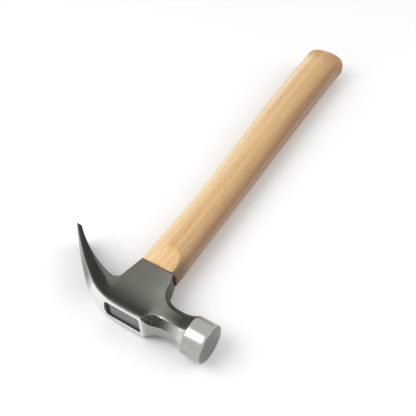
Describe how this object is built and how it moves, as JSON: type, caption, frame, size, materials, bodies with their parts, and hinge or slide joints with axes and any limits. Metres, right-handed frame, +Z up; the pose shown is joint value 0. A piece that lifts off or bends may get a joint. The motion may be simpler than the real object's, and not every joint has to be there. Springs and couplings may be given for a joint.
{
  "type": "claw hammer",
  "caption": "Claw hammer with a polished forged head, octagonal neck, split nail-pulling claw and a straight waisted hardwood handle wedged into the eye.",
  "frame": {"origin": "middle of the underside of the box that the hammer fills, lying on its side", "axes": "+X towards the striking face, +Y along the handle to the butt, +Z up from the side it lies on"},
  "size_m": [0.1326, 0.3288, 0.0273],
  "materials": {
    "forged_steel": "satin cheeks, polished striking end and outer faces",
    "hardwood": "lacquered",
    "wedge_wood": "raw",
    "wedge_steel": "raw",
    "eye_resin": "satin"
  },
  "bodies": {
    "root": {"hammer_head": "forged_steel", "handle": "hardwood", "wooden_wedge": "wedge_wood", "steel_wedges": "wedge_steel", "eye_seal": "eye_resin"}
  },
  "joints": []
}
